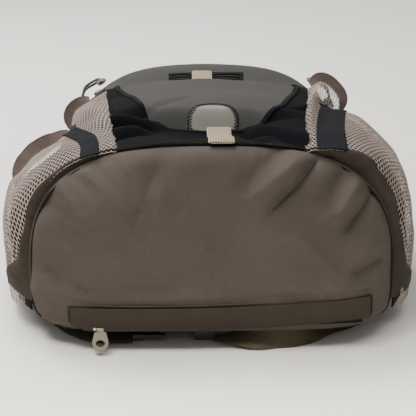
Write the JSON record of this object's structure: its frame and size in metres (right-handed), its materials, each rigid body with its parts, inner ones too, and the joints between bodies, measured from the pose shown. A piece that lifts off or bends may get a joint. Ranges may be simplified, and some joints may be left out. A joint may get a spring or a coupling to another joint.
{
  "type": "hydration pack",
  "caption": "Small hydration backpack lying on its back, with a bulged base, mesh bottle pockets, a stretch front pocket, a zipped clamshell lid and a reservoir inside.",
  "frame": {"origin": "middle of the back, on the floor face of the foam pads", "axes": "+Z out through the front of the pack, +Y towards the haul loop, +X to the right when the base faces the viewer"},
  "size_m": [0.344, 0.5287, 0.1695],
  "materials": {
    "taupe_nylon": "matt woven nylon",
    "grey_shell": "matt woven polyester",
    "black_stretch": "matt stretch knit",
    "black_webbing": "woven tape",
    "pocket_mesh": "open knitted mesh",
    "knit_binding": "ribbed elastic",
    "cream_webbing": "ribbed woven tape",
    "olive_webbing": "woven webbing",
    "reflective": "retroreflective print",
    "zip_tape": "woven tape with a moulded coil",
    "zip_metal": "plated die casting",
    "puller_metal": "satin paint",
    "pull_rubber": "moulded matt",
    "black_plastic": "moulded acetal",
    "back_mesh": "spacer mesh",
    "frame_plastic": "natural sheet",
    "stay_alloy": "mill finish",
    "lining": "plain lining",
    "reservoir_film": "frosted polymer film",
    "cap_plastic": "moulded"
  },
  "bodies": {
    "pack_body": {"back_panel": "back_mesh", "back_pads": "back_mesh", "frame_sheet": "frame_plastic", "frame_stay": "stay_alloy", "bottom_panel": "taupe_nylon", "boot_front": "taupe_nylon", "boot_left": "taupe_nylon", "boot_right": "taupe_nylon", "side_panel_left": "grey_shell", "side_panel_right": "grey_shell", "front_panel": "grey_shell", "top_panel": "grey_shell", "hose_port": "black_plastic", "stretch_pocket": "black_stretch", "stretch_hem": "black_stretch", "front_tab": "cream_webbing", "reflective_disc": "reflective", "pocket_mesh_left": "pocket_mesh", "pocket_mesh_right": "pocket_mesh", "pocket_band_left": "black_webbing", "pocket_band_right": "black_webbing", "pocket_binding_left": "knit_binding", "pocket_binding_right": "knit_binding", "base_pocket_lining": "lining", "base_zip_tape": "zip_tape", "main_zip_tape": "zip_tape", "hydration_sleeve": "lining", "reservoir": "reservoir_film", "reservoir_port": "cap_plastic", "hang_clip": "black_plastic", "strap_anchor_tabs": "black_webbing"},
    "lid": {"lid_panel": "grey_shell", "lid_zip_tape": "zip_tape", "lid_tab": "cream_webbing", "lid_slot_patch": "black_webbing", "lid_piping": "olive_webbing"},
    "flap": {"storm_flap": "taupe_nylon"},
    "base_zip_slider": {"base_slider": "zip_metal"},
    "base_zip_puller": {"base_puller": "puller_metal"},
    "main_zip_slider_left": {"main_slider_left": "zip_metal"},
    "main_zip_slider_right": {"main_slider_right": "zip_metal"},
    "zip_pull_left": {"main_pull_left": "pull_rubber"},
    "zip_pull_right": {"main_pull_right": "pull_rubber"},
    "haul_handle": {"haul_loop": "black_webbing"},
    "reservoir_lid": {"reservoir_cap": "cap_plastic"},
    "strap_left": {"shoulder_strap_left": "back_mesh", "ladder_lock_left": "black_plastic"},
    "strap_right": {"shoulder_strap_right": "back_mesh", "ladder_lock_right": "black_plastic"},
    "lower_webbing_left": {"strap_webbing_left": "olive_webbing"},
    "lower_webbing_right": {"strap_webbing_right": "olive_webbing"},
    "sternum_left": {"sternum_strap_left": "olive_webbing", "sternum_buckle_male": "black_plastic"},
    "sternum_right": {"sternum_strap_right": "olive_webbing", "sternum_buckle_female": "black_plastic"},
    "belt_left": {"waist_belt_left": "olive_webbing", "waist_buckle_male": "black_plastic"},
    "belt_right": {"waist_belt_right": "olive_webbing", "waist_buckle_female": "black_plastic"}
  },
  "joints": [
    {"name": "lid_hinge", "type": "hinge", "parent": "pack_body", "child": "lid", "pos_m": [0, 0.057, 0.1463], "axis": [1, 0, 0], "range_deg": [0, 110]},
    {"name": "storm_flap_hinge", "type": "hinge", "parent": "pack_body", "child": "flap", "pos_m": [0, -0.25867, 0.04027], "axis": [-1, 0, 0], "range_deg": [0, 100]},
    {"name": "base_slider_run", "type": "slide", "parent": "pack_body", "child": "base_zip_slider", "axis": [1, 0, 0], "range_m": [0, 0.19]},
    {"name": "base_puller_hinge", "type": "hinge", "parent": "base_zip_slider", "child": "base_zip_puller", "pos_m": [-0.086, -0.25762, 0.02067], "axis": [-1, 0, 0], "range_deg": [0, 40]},
    {"name": "main_slider_left_run", "type": "slide", "parent": "pack_body", "child": "main_zip_slider_left", "axis": [0.0229, 0.9786, -0.2044], "range_m": [0, 0.05]},
    {"name": "main_slider_right_run", "type": "slide", "parent": "pack_body", "child": "main_zip_slider_right", "axis": [-0.0229, 0.9786, -0.2044], "range_m": [0, 0.05]},
    {"name": "zip_pull_left_hinge", "type": "hinge", "parent": "main_zip_slider_left", "child": "zip_pull_left", "pos_m": [-0.12631, 0.07002, 0.11355], "axis": [-0.57, -0.2045, -0.7958], "range_deg": [0, 90]},
    {"name": "zip_pull_right_hinge", "type": "hinge", "parent": "main_zip_slider_right", "child": "zip_pull_right", "pos_m": [0.12631, 0.07002, 0.11355], "axis": [-0.57, 0.2045, 0.7958], "range_deg": [0, 90]},
    {"name": "haul_loop_hinge", "type": "hinge", "parent": "pack_body", "child": "haul_handle", "pos_m": [0, 0.241, 0.026], "axis": [1, 0, 0], "range_deg": [0, 50]},
    {"name": "reservoir_cap_turn", "type": "hinge", "parent": "pack_body", "child": "reservoir_lid", "pos_m": [0, 0.078, 0.049], "axis": [0, 0, 1], "range_deg": [0, 180]},
    {"name": "strap_left_hinge", "type": "hinge", "parent": "pack_body", "child": "strap_left", "pos_m": [-0.06, 0.203, 0.006], "axis": [1, 0, 0], "range_deg": [0, 6]},
    {"name": "strap_right_hinge", "type": "hinge", "parent": "pack_body", "child": "strap_right", "pos_m": [0.06, 0.203, 0.006], "axis": [1, 0, 0], "range_deg": [0, 6]},
    {"name": "lower_webbing_left_hinge", "type": "hinge", "parent": "pack_body", "child": "lower_webbing_left", "pos_m": [-0.108, -0.192, 0.005], "axis": [-1, 0, 0], "range_deg": [0, 20]},
    {"name": "lower_webbing_right_hinge", "type": "hinge", "parent": "pack_body", "child": "lower_webbing_right", "pos_m": [0.108, -0.192, 0.005], "axis": [-1, 0, 0], "range_deg": [0, 20]},
    {"name": "sternum_left_hinge", "type": "hinge", "parent": "strap_left", "child": "sternum_left", "pos_m": [-0.057, 0.063, 0.006], "axis": [0, 1, 0], "range_deg": [0, 90]},
    {"name": "sternum_right_hinge", "type": "hinge", "parent": "strap_right", "child": "sternum_right", "pos_m": [0.057, 0.063, 0.006], "axis": [0, -1, 0], "range_deg": [0, 90]},
    {"name": "belt_left_hinge", "type": "hinge", "parent": "pack_body", "child": "belt_left", "pos_m": [-0.118, -0.206, 0.005], "axis": [0, 1, 0], "range_deg": [0, 60]},
    {"name": "belt_right_hinge", "type": "hinge", "parent": "pack_body", "child": "belt_right", "pos_m": [0.118, -0.206, 0.005], "axis": [0, -1, 0], "range_deg": [0, 60]}
  ],
  "couplings": [
    {"joint": "lower_webbing_left_hinge", "follows": "strap_left_hinge", "ratio": 3.25},
    {"joint": "lower_webbing_right_hinge", "follows": "strap_right_hinge", "ratio": 3.25}
  ]
}
